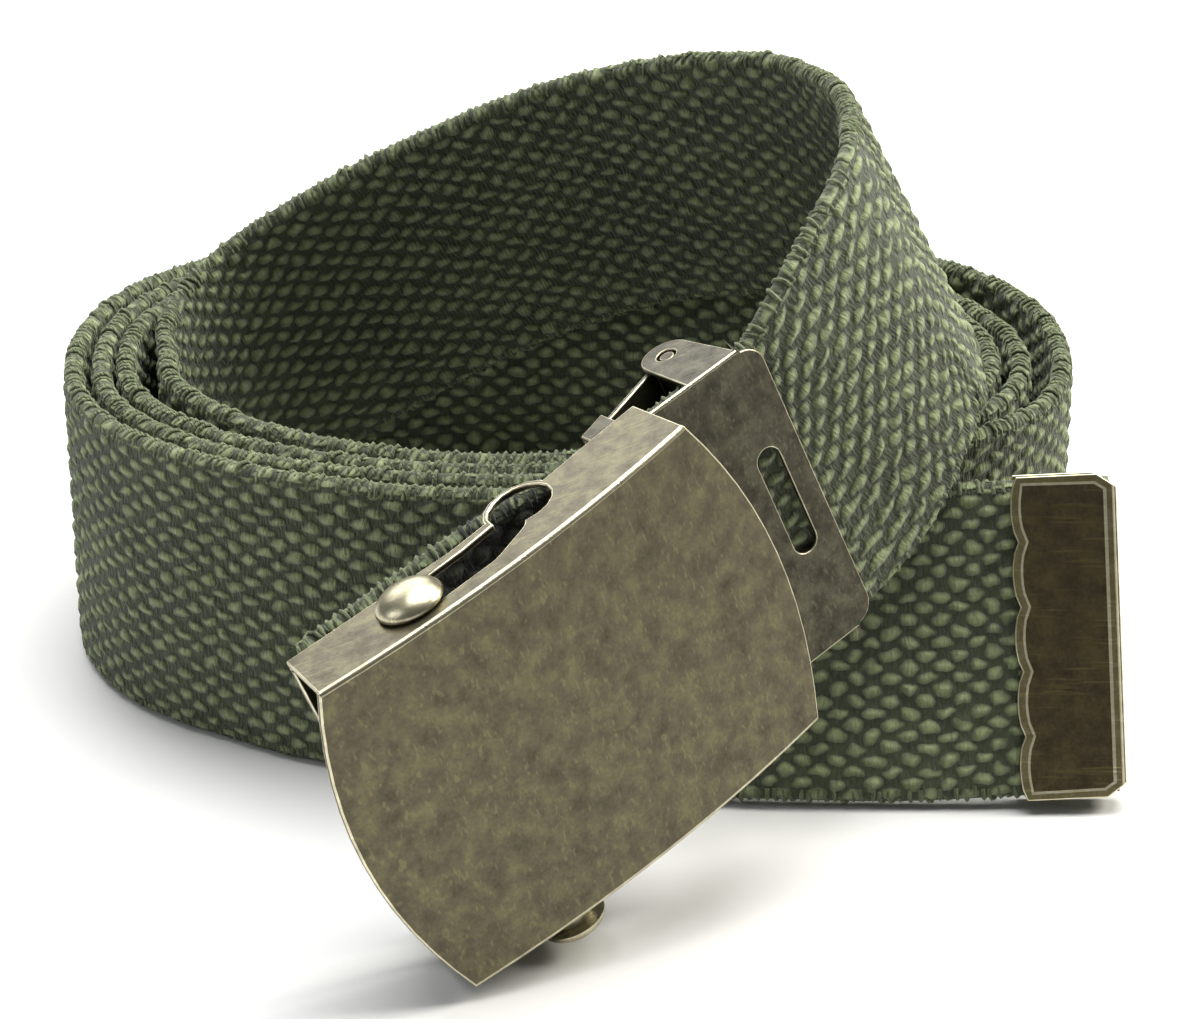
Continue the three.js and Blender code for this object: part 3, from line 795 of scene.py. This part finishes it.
    def loop_tree(self, material: bpy.types.Material) -> bpy.types.NodeTree:
        """Builds the Geometry Nodes tree that whips a yarn loop over the selvage at every point.

        Args:
            material: The yarn's material.

        Returns:
            The tree, with inputs for the yarn's radius and the loop's reach.
        """
        tree = bpy.data.node_groups.new("selvage_loops", "GeometryNodeTree")
        face = tree.interface
        face.new_socket("Geometry", in_out="INPUT", socket_type="NodeSocketGeometry")
        face.new_socket("Yarn Radius", in_out="INPUT", socket_type="NodeSocketFloat")
        face.new_socket("Loop Reach", in_out="INPUT", socket_type="NodeSocketFloat")
        face.new_socket("Geometry", in_out="OUTPUT", socket_type="NodeSocketGeometry")
        source = add_node(tree, "NodeGroupInput")
        arc = add_node(
            tree, "GeometryNodeCurveArc",
            {"Resolution": 6, "Radius": source.outputs["Loop Reach"], "Start Angle": -0.25, "Sweep Angle": math.pi + 0.5},
        )
        sizes = {"Resolution": 4, "Radius": source.outputs["Yarn Radius"]}
        circle = add_node(tree, "GeometryNodeCurvePrimitiveCircle", sizes)
        yarn = add_node(
            tree, "GeometryNodeCurveToMesh",
            {"Curve": arc.outputs["Curve"], "Profile Curve": circle.outputs["Curve"], "Fill Caps": True},
        )
        smooth = add_node(tree, "GeometryNodeSetShadeSmooth", {"Geometry": yarn.outputs[0]})
        facing = add_node(tree, "GeometryNodeInputNamedAttribute", {"Name": "facing"}, data_type="FLOAT_VECTOR")
        rising = add_node(tree, "GeometryNodeInputNamedAttribute", {"Name": "rising"}, data_type="FLOAT_VECTOR")
        axes = {"Primary Axis": facing, "Secondary Axis": rising}
        aim = add_node(tree, "FunctionNodeAxesToRotation", axes)
        aim.primary_axis = "X"
        aim.secondary_axis = "Y"
        loops = add_node(
            tree, "GeometryNodeInstanceOnPoints",
            {"Points": source.outputs["Geometry"], "Instance": smooth.outputs[0], "Rotation": aim.outputs[0]},
        )
        real = add_node(tree, "GeometryNodeRealizeInstances", {"Geometry": loops.outputs[0]})
        dressed = add_node(tree, "GeometryNodeSetMaterial", {"Geometry": real.outputs[0], "Material": material})
        add_node(tree, "NodeGroupOutput", {"Geometry": dressed.outputs[0]})
        return tree

    def selvages(self, shift: Vector) -> None:
        """Whips yarn loops over both woven edges with Geometry Nodes.

        Args:
            shift: The part's offset in the row frame, in metres.
        """
        middle, edge, out, along = self.path.frames(self.loop_spacing)
        rng = np.random.default_rng(self.seed)
        reach = self.path.thickness / 2 - self.yarn_radius * 0.6
        keep = slice(12, None)
        travel = np.cross(out, edge)
        spots, facings, risings = [], [], []
        for sign in (1.0, -1.0):
            inward = self.path.width / 2 - self.path.thickness * 0.44
            wobble = rng.normal(0, 0.13, len(along))[keep, None]
            spots.append(middle[keep] + edge[keep] * (sign * inward + wobble))
            tilt = travel[keep] * (0.3 + rng.normal(0, 0.25, len(along))[keep, None])
            facings.append(out[keep] + tilt)
            risings.append(edge[keep] * sign)
        mesh = bpy.data.meshes.new("selvage_points")
        mesh.from_pydata((np.vstack(spots) * MM + np.array(shift)).tolist(), [], [])
        for name, rows in (("facing", facings), ("rising", risings)):
            layer = mesh.attributes.new(name, "FLOAT_VECTOR", "POINT")
            layer.data.foreach_set("vector", np.vstack(rows).astype(np.float32).ravel())
        # Painted shade: the edge loops seen inside the buckle are darkened to stand in for its shadow.
        seen_inside = (along > along[-1] - self.inside_buckle) & (along < along[-1] - self.bare_tail)
        painted_shade = mesh.attributes.new("painted_shade", "FLOAT", "POINT")
        painted_shade.data.foreach_set("value", np.tile(seen_inside[keep], 2).astype(np.float32) * self.painted_shade)
        carrier = link("selvage_points", mesh)
        tree = self.loop_tree(self.finishes.selvage)
        modifier = carrier.modifiers.new("loops", "NODES")
        modifier.node_group = tree
        sizes = {"Yarn Radius": self.yarn_radius * MM, "Loop Reach": reach * MM}
        for item in tree.interface.items_tree:
            if item.item_type == "SOCKET" and item.in_out == "INPUT" and item.name in sizes:
                modifier[item.identifier] = sizes[item.name]
        graph = bpy.context.evaluated_depsgraph_get()
        made = bpy.data.meshes.new_from_object(carrier.evaluated_get(graph))
        bpy.data.objects.remove(carrier)
        made.uv_layers.new(name="weave")
        co = np.zeros(len(made.vertices) * 3, np.float32)
        made.vertices.foreach_get("co", co)
        index = np.zeros(len(made.loops), np.int32)
        made.loops.foreach_get("vertex_index", index)
        co = co.reshape(-1, 3)
        co[:, 2] = np.maximum(co[:, 2], 0)
        made.vertices.foreach_set("co", co.ravel())
        flat = co[index]
        places = np.stack([flat[:, 0] + flat[:, 1], flat[:, 2]], 1)
        made.uv_layers["weave"].data.foreach_set("uv", places.ravel())
        seat(link("selvage_loops", made), Body.BELT, Slot.CANVAS, "webbing")

    def fray(self, shift: Vector, strands: int = 90) -> None:
        """Lets short yarn ends stand out of the cut tail.

        Args:
            shift: The part's offset in the row frame, in metres.
            strands: How many yarn ends there are.
        """
        middle, edge, out, _ = self.path.frames(2.0)
        rng = np.random.default_rng(self.seed + 1)
        tail, up, normal = (Vector(rows[-1]) for rows in (middle, edge, out))
        travel = normal.cross(up)
        work = bmesh.new()
        for _ in range(strands):
            root = tail + up * rng.uniform(-18.6, 18.6) + normal * rng.uniform(-1.1, 1.1) - travel * 0.4
            heading = (travel + up * rng.normal(0, 0.35) + normal * rng.normal(0, 0.35)).normalized()
            curl = up * rng.normal(0, 0.4) + normal * rng.normal(0, 0.4)
            length = rng.uniform(0.9, 2.0)
            rings = []
            for step in range(4):
                t = step / 3
                centre = root + heading * length * t + curl * t * t * 0.6
                radius = 0.16 * (1 - 0.6 * t)
                rings.append([
                    work.verts.new((centre + (up * math.cos(a) + normal * math.sin(a)) * radius) * MM + shift)
                    for a in (0, 2.09, 4.19)
                ])
            for low, high in zip(rings[:-1], rings[1:]):
                for k in range(3):
                    work.faces.new((low[k], low[(k + 1) % 3], high[(k + 1) % 3], high[k]))
            work.faces.new(rings[-1])
            work.faces.new(rings[0][::-1])
        bmesh.ops.recalc_face_normals(work, faces=work.faces)
        mesh = bpy.data.meshes.new("frayed_yarns")
        work.to_mesh(mesh)
        work.free()
        mesh.uv_layers.new(name="weave")
        mesh.materials.append(self.finishes.selvage)
        seat(link("frayed_yarns", mesh), Body.BELT, Slot.CANVAS, "webbing")

    def build(self, shift: Vector) -> None:
        """Builds every piece of the webbing.

        Args:
            shift: The part's offset in the row frame, in metres.
        """
        self.strap(shift)
        self.selvages(shift)
        self.fray(shift)


@dataclass(frozen=True)
class BendSizes:
    """Where a sheet's long bends lie and how far its bends and cut edges are rounded, in millimetres."""

    # How far the bends lie from the middle line: 0 takes every edge over 20 mm as a bend, and -1 takes none.
    half: float
    front: float
    bend: float
    roll: float
    margin: float = 0.0


@dataclass
class SheetMetal:
    """Pieces of bent sheet, with broad bends in painted highlight, small rolled edges rubbed and painted bright, and
    painted shade inside the box.
    """

    buckle: BuckleFrame
    finishes: Finishes
    segments: int = 4
    face_half: float = 21.0

    def on_bend(self, edge: bmesh.types.BMEdge, home: Matrix, half: float, front: float) -> bool:
        """Tells whether an edge lies on one of the two long outer bends of a folded sheet.

        Args:
            edge: The edge.
            home: The matrix from the row frame to buckle millimetres.
            half: How far the bends lie from the middle line, or zero where the long edges are the bends.
            front: How deep behind the face the bends may lie.

        Returns:
            True where both ends lie on a bend.
        """
        ends = [home @ vert.co for vert in edge.verts]
        run = ends[1] - ends[0]
        if half == 0:
            return run.length > 20
        outer = all(abs(abs(end.y) - half) < 0.12 and -end.z < front for end in ends)
        return outer and abs(run.x) > 4 * max(abs(run.y), abs(run.z) / 4)

    def rolled(
        self, home: Matrix, node: str, name: str, looks: tuple[bpy.types.Material, ...], slot: Slot, sizes: BendSizes
    ) -> None:
        """Makes a piece from its solid, with rounded bends and rubbed edges, painted highlight on the edges and outer
        bends, and its own look on the inner faces.

        Args:
            home: The matrix from the row frame to buckle millimetres.
            node: The CAD node that it stands for.
            name: The piece's name.
            looks: The finishes, in the order of Look.
            slot: The record's material slot.
            sizes: The sizes of its bends and edges.
        """
        half = sizes.half
        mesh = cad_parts[node].data.copy()
        mesh.name = name
        mesh.materials.clear()
        work = bmesh.new()
        work.from_mesh(mesh)
        bmesh.ops.remove_doubles(work, verts=work.verts, dist=2e-6)
        bmesh.ops.dissolve_limit(work, angle_limit=math.radians(0.6), verts=work.verts, edges=work.edges)
        weight = work.edges.layers.float.new("bevel_weight_edge")
        for edge in work.edges:
            if len(edge.link_faces) == 2 and edge.calc_face_angle(0) > math.radians(35):
                edge[weight] = 1.0 if self.on_bend(edge, home, half, sizes.front) else sizes.roll / sizes.bend
        turn = home.to_3x3().normalized()
        panels = [face for face in work.faces if sizes.margin and face.calc_area() > 250 * MM * MM]
        rims = bmesh.ops.inset_individual(work, faces=panels, thickness=sizes.margin * MM)["faces"] if panels else []
        # Faces turned inward take the inside look, which on the box is painted shade.
        for face in work.faces:
            face.smooth = True
            centre = home @ face.calc_center_median()
            normal = turn @ face.normal
            toward = Vector((0, centre.y, 0)).normalized() if abs(centre.y) > half - 1.6 else Vector((0, 0, 1))
            face.material_index = Look.INSIDE if normal.dot(toward) < -0.7 else Look.OUTSIDE
        for face in rims:
            face.material_index = Look.MARGIN
        work.to_mesh(mesh)
        work.free()
        for look in looks:
            mesh.materials.append(look)
        obj = link(name, mesh)
        bevel = obj.modifiers.new("roll", "BEVEL")
        bevel.width = sizes.bend * MM
        bevel.segments = self.segments
        bevel.limit_method = "WEIGHT"
        bevel.use_clamp_overlap = False
        bevel.material = Look.EDGE
        even = obj.modifiers.new("normals", "WEIGHTED_NORMAL")
        even.weight = 100
        graph = bpy.context.evaluated_depsgraph_get()
        made = bpy.data.meshes.new_from_object(obj.evaluated_get(graph))
        obj.modifiers.clear()
        obj.data = made
        # Outward-facing bevel faces on the long outer bends take the bend look, a painted highlight.
        for face in made.polygons:
            centre = home @ face.center
            normal = turn @ face.normal
            outer = abs(centre.y) > half - sizes.bend * 1.05 and -centre.z < sizes.front
            forward = abs(normal.y) > 0.08 and normal.z > 0.08 and abs(normal.x) < 0.3
            if face.material_index == Look.EDGE and outer and forward:
                face.material_index = Look.BEND
        seat(obj, Body.BELT, slot, node)

    def build(self, shift: Vector) -> None:
        """Builds the buckle's sheet pieces, the pin and the tip.

        Args:
            shift: The part's offset in the row frame, in metres.
        """
        home = self.buckle.matrix(shift).inverted()
        made = self.finishes
        clamp = (made.dark_brass, made.dark_rubbed_and_highlit_edge, made.dark_brass, made.bend)
        base = (made.dark_brass, made.dark_rubbed_and_highlit_edge, made.dark_brass, made.dark_rubbed_and_highlit_edge)
        tip = (made.tip_brass, made.rubbed_and_highlit_edge, made.tip_brass, made.rubbed_and_highlit_edge, made.margin)
        shell = (made.brass, made.rubbed_and_highlit_edge, made.inside, made.bend)
        self.rolled(home, "buckle_box", "buckle_shell", shell, Slot.BRASS, BendSizes(self.face_half, 2.9, 0.55, 0.2))
        self.rolled(home, "clamp_plate", "clamp_cover", clamp, Slot.DARK_BRASS, BendSizes(19.9, 11.0, 0.34, 0.15))
        self.rolled(home, "clamp_base", "clamp_back", base, Slot.DARK_BRASS, BendSizes(-1.0, 0.0, 0.2, 0.18))
        self.rolled(home, "hinge_pin", "clamp_pin", clamp, Slot.DARK_BRASS, BendSizes(-1.0, 0.0, 0.12, 0.12))
        self.rolled(home, "tip_cap", "folded_tip", tip, Slot.TIP_BRASS, BendSizes(0.0, 0.0, 0.22, 0.15, 1.1))


@dataclass
class RollerBar:
    """The loose bar with a domed cap at each end."""

    buckle: BuckleFrame
    finishes: Finishes
    radius: float = 2.5
    cap_radius: float = 4.0
    cap_height: float = 2.0
    upper: float = 21.3
    drop: float = 2.5
    along: float = -10.6
    depth: float = 6.05
    sides: int = 48

    def profile(self) -> list[tuple[float, float]]:
        """Gives the bar's outline from the lower cap to the upper.

        Returns:
            Pairs of radius and place across.
        """
        lower = -self.upper - self.drop
        angles = np.linspace(0, math.pi / 2 * 0.94, 9)
        dome = [(self.cap_radius * math.sin(a), self.cap_height * math.cos(a)) for a in angles]
        rim = self.cap_radius * 0.985
        low = [(r, lower - h) for r, h in dome] + [(rim, lower)]
        high = [(rim, self.upper)] + [(r, self.upper + h) for r, h in reversed(dome)]
        return low + [(self.radius, lower), (self.radius, self.upper)] + high

    def build(self, shift: Vector) -> None:
        """Builds the bar as one turned piece.

        Args:
            shift: The part's offset in the row frame, in metres.
        """
        work = bmesh.new()
        rings = []
        for r, y in self.profile():
            if r < 1e-6:
                rings.append([work.verts.new((self.along, y, -self.depth))])
            else:
                rings.append([
                    work.verts.new((self.along + r * math.cos(a), y, -self.depth + r * math.sin(a)))
                    for a in np.linspace(0, math.tau, self.sides, endpoint=False)
                ])
        for low, high in zip(rings[:-1], rings[1:]):
            for k in range(self.sides):
                n = (k + 1) % self.sides
                corners = [low[k % len(low)], low[n % len(low)], high[n % len(high)], high[k % len(high)]]
                work.faces.new(list(dict.fromkeys(corners)))
        bmesh.ops.recalc_face_normals(work, faces=work.faces)
        for face in work.faces:
            face.smooth = True
        mesh = bpy.data.meshes.new("roller")
        work.to_mesh(mesh)
        work.free()
        mesh.transform(self.buckle.matrix(shift))
        # The whole roller takes the paler copy of the brass: painted highlight.
        mesh.materials.append(self.finishes.bend)
        mesh.set_sharp_from_angle(angle=math.radians(45))
        seat(link("roller", mesh), Body.ROLLER, Slot.BRASS, "roller_bar")


@dataclass
class Studio:
    """Pale floor, soft light from above and behind, and the camera."""

    elevation: float = 26.0
    distance: float = 0.5206
    lens: float = 111.9
    aim: Vector = field(default_factory=lambda: Vector((0.00395, 0.03004, 0)))

    def camera(self, shift: Vector) -> None:
        """Places the camera at the photograph's angle.

        Args:
            shift: The part's offset in the row frame, in metres.
        """
        tilt = math.radians(self.elevation)
        data = bpy.data.cameras.new("camera")
        data.lens = self.lens
        data.sensor_width = 36
        data.clip_start = 0.01
        camera = bpy.data.objects.new("camera", data)
        camera.location = shift + self.aim + Vector((0, -math.cos(tilt), math.sin(tilt))) * self.distance
        camera.rotation_euler = (math.pi / 2 - tilt, 0, 0)
        bpy.context.scene.collection.objects.link(camera)
        bpy.context.scene.camera = camera

    def light(
        self, name: str, place: tuple[float, float, float], size: tuple[float, float], power: float, colour: str
    ) -> None:
        """Adds a soft area light that points at the belt.

        Args:
            name: The light's name.
            place: Where it hangs, in metres.
            size: Its width and height.
            power: Its power in watts.
            colour: Its colour as hex.
        """
        data = bpy.data.lights.new(name, "AREA")
        data.shape = "RECTANGLE"
        data.size, data.size_y = size
        data.energy = power
        data.color = linear(colour)[:3]
        lamp = bpy.data.objects.new(name, data)
        lamp.location = place
        lamp.rotation_euler = (Vector((0, 0, 0.03)) - Vector(place)).to_track_quat("-Z", "Y").to_euler()
        bpy.context.scene.collection.objects.link(lamp)

    def floor(self) -> None:
        """Lays a pale matt floor."""
        mesh = bpy.data.meshes.new("floor")
        mesh.from_pydata([(-4, -4, 0), (4, -4, 0), (4, 4, 0), (-4, 4, 0)], [], [(0, 1, 2, 3)])
        material, tree = start_material("pale_floor")
        shader = add_node(tree, "ShaderNodeBsdfPrincipled", {"Base Color": linear("#d6d6d4"), "Roughness": 0.8})
        add_node(tree, "ShaderNodeOutputMaterial", {"Surface": shader.outputs[0]})
        mesh.materials.append(material)
        floor = link("floor", mesh)
        floor.location.z = -0.0002

    def build(self, shift: Vector) -> None:
        """Builds the floor, the lights and the camera.

        Args:
            shift: The part's offset in the row frame, in metres.
        """
        self.floor()
        self.light("overhead", (0.05, 0.3, 1.15), (1.1, 0.9), 29, "#ffffff")
        self.light("behind_left", (-0.45, 1.0, 0.6), (0.9, 0.5), 6, "#ffffff")
        self.light("right_side", (0.9, 0.25, 0.75), (0.5, 0.5), 15, "#fffaf0")
        self.light("left_side", (-0.95, -0.3, 0.5), (0.5, 0.5), 2.4, "#f7faff")
        world = bpy.data.worlds.new("studio")
        world.use_nodes = True
        background = world.node_tree.nodes["Background"]
        background.inputs["Color"].default_value = linear("#f6f7f8")
        background.inputs["Strength"].default_value = 0.14
        bpy.context.scene.world = world
        bpy.context.scene.view_settings.view_transform = "Standard"
        self.camera(shift)


def part_offset(path: WebPath) -> Vector:
    """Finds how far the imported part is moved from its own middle.

    Args:
        path: The web's path.

    Returns:
        The shift in metres.
    """
    low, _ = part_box("webbing")
    middle, edge, out, _ = path.frames(path.cad_spacing)
    w, t, c = path.width / 2, path.thickness / 2, path.cad_chamfer
    corners = [(w, t - c), (w - c, t), (c - w, t), (-w, t - c), (-w, c - t), (c - w, -t), (w - c, -t), (w, c - t)]
    lowest = np.min([(middle + edge * a + out * b).min(0) for a, b in corners], axis=0)
    return low - Vector(lowest * MM)


def main() -> None:
    """Builds the belt and the studio round it."""
    logging.basicConfig(level=logging.INFO, format="%(name)s %(message)s")
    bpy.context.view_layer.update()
    buckle = BuckleFrame()
    path = WebPath(buckle)
    shift = part_offset(path)
    log.info("offset %s", [round(v, 5) for v in shift])
    finishes = Finishes()
    Studio().build(shift)
    SheetMetal(buckle, finishes).build(shift)
    RollerBar(buckle, finishes).build(shift)
    Webbing(path, finishes).build(shift)


if __name__ == "__main__":
    main()
